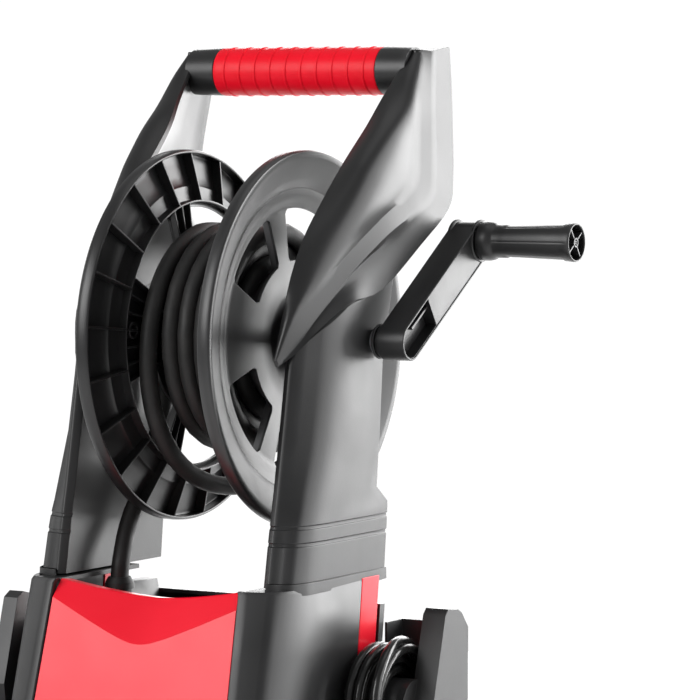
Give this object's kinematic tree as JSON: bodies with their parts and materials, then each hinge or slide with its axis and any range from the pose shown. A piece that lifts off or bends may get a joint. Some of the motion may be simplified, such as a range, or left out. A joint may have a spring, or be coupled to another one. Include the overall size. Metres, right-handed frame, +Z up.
{
  "type": "pressure washer with hose reel",
  "caption": "Upright electric pressure washer on wheels, with a red front panel, a crank-wound hose reel between two struts, a cross handle, a cord hook and a stored spray gun.",
  "frame": {"origin": "on the floor, under the middle of the machine", "axes": "+Z up, +X to the crank side, the red front panel faces -Y"},
  "size_m": [0.4145, 0.4204, 0.868],
  "materials": {
    "black_plastic": "fine-textured injection moulding",
    "blade_plastic": "satin graphite moulding",
    "red_plastic": "smooth moulding",
    "grip_rubber": "ribbed soft-touch sleeve",
    "black_rubber": "matt",
    "tyre_rubber": "matt tread",
    "hose_rubber": "matt braided-hose cover",
    "cable_sheath": "glossy sheath",
    "zinc_steel": "zinc plated",
    "brass": "turned",
    "cast_aluminium": "as cast",
    "grey_plastic": "bearing plastic",
    "tank_plastic": "translucent blow moulding"
  },
  "bodies": {
    "machine": {"axle_bush": "grey_plastic", "base": "black_plastic", "blade_cover_left": "blade_plastic", "blade_cover_right": "blade_plastic", "cord_gland": "black_rubber", "cord_hank": "cable_sheath", "cord_hook": "black_plastic", "cord_lead": "cable_sheath", "cord_tail": "cable_sheath", "detergent_tank": "tank_plastic", "front_foot_left": "black_rubber", "front_foot_right": "black_rubber", "front_panel": "red_plastic", "grip_collar_left": "black_plastic", "grip_collar_right": "black_plastic", "gun_body": "black_plastic", "gun_holder": "black_plastic", "gun_lance": "zinc_steel", "handle_grip": "grip_rubber", "handle_tube": "zinc_steel", "hose_grommet": "black_rubber", "lead_hose": "hose_rubber", "left_casing": "black_plastic", "lower_front_cover": "black_plastic", "motor": "cast_aluminium", "plug": "black_rubber", "pump_head": "cast_aluminium", "rear_casing": "black_plastic", "reel_elbow": "brass", "right_casing": "black_plastic", "side_trim_left": "red_plastic", "side_trim_right": "red_plastic", "strut_left": "black_plastic", "strut_right": "black_plastic", "switch_bezel": "black_plastic", "top_deck": "black_plastic", "water_inlet": "brass", "wheel_axle": "zinc_steel"},
    "reel": {"reel_flange_left": "black_plastic", "reel_flange_right": "black_plastic", "reel_drum": "black_plastic", "reel_axle": "zinc_steel", "hose_winding": "hose_rubber", "hose_end": "hose_rubber", "hose_connector": "brass", "crank_washer": "black_plastic", "crank_arm": "black_plastic", "crank_pin": "zinc_steel"},
    "crank_handle": {"crank_grip": "black_plastic"},
    "left_wheel": {"wheel_tyre_left": "tyre_rubber", "wheel_hub_left": "black_plastic", "wheel_cap_left": "red_plastic"},
    "right_wheel": {"wheel_tyre_right": "tyre_rubber", "wheel_hub_right": "black_plastic", "wheel_cap_right": "red_plastic"},
    "switch": {"switch_knob": "red_plastic"},
    "trigger": {"gun_trigger": "red_plastic"},
    "nozzle": {"lance_nozzle": "black_plastic"},
    "tank_cap": {"detergent_cap": "black_plastic"}
  },
  "joints": [
    {"name": "reel_spin", "type": "hinge", "parent": "machine", "child": "reel", "pos_m": [0, 0.025, 0.665], "axis": [1, 0, 0], "continuous": true},
    {"name": "crank_handle_spin", "type": "hinge", "parent": "reel", "child": "crank_handle", "pos_m": [0.135, 0.125, 0.731], "axis": [1, 0, 0], "continuous": true},
    {"name": "left_wheel_spin", "type": "hinge", "parent": "machine", "child": "left_wheel", "pos_m": [-0.15, 0.12, 0.09], "axis": [1, 0, 0], "continuous": true},
    {"name": "right_wheel_spin", "type": "hinge", "parent": "machine", "child": "right_wheel", "pos_m": [0.15, 0.12, 0.09], "axis": [1, 0, 0], "continuous": true},
    {"name": "switch_turn", "type": "hinge", "parent": "machine", "child": "switch", "pos_m": [0, -0.17663, 0.212], "axis": [0, -0.9673, 0.2534], "range_deg": [0, 90]},
    {"name": "trigger_pull", "type": "hinge", "parent": "machine", "child": "trigger", "pos_m": [-0.189, -0.0445, 0.322], "axis": [-1, 0, 0], "range_deg": [0, 16], "stiffness_Nm_per_rad": 0.6, "springref_deg": -5.73},
    {"name": "nozzle_twist", "type": "hinge", "parent": "machine", "child": "nozzle", "pos_m": [-0.189, -0.03, 0.05], "axis": [0, 0, 1], "range_deg": [-60, 60]},
    {"name": "tank_cap_turn", "type": "hinge", "parent": "machine", "child": "tank_cap", "pos_m": [0, 0.09774, 0.345], "axis": [0, 0, 1], "range_deg": [0, 180]}
  ]
}
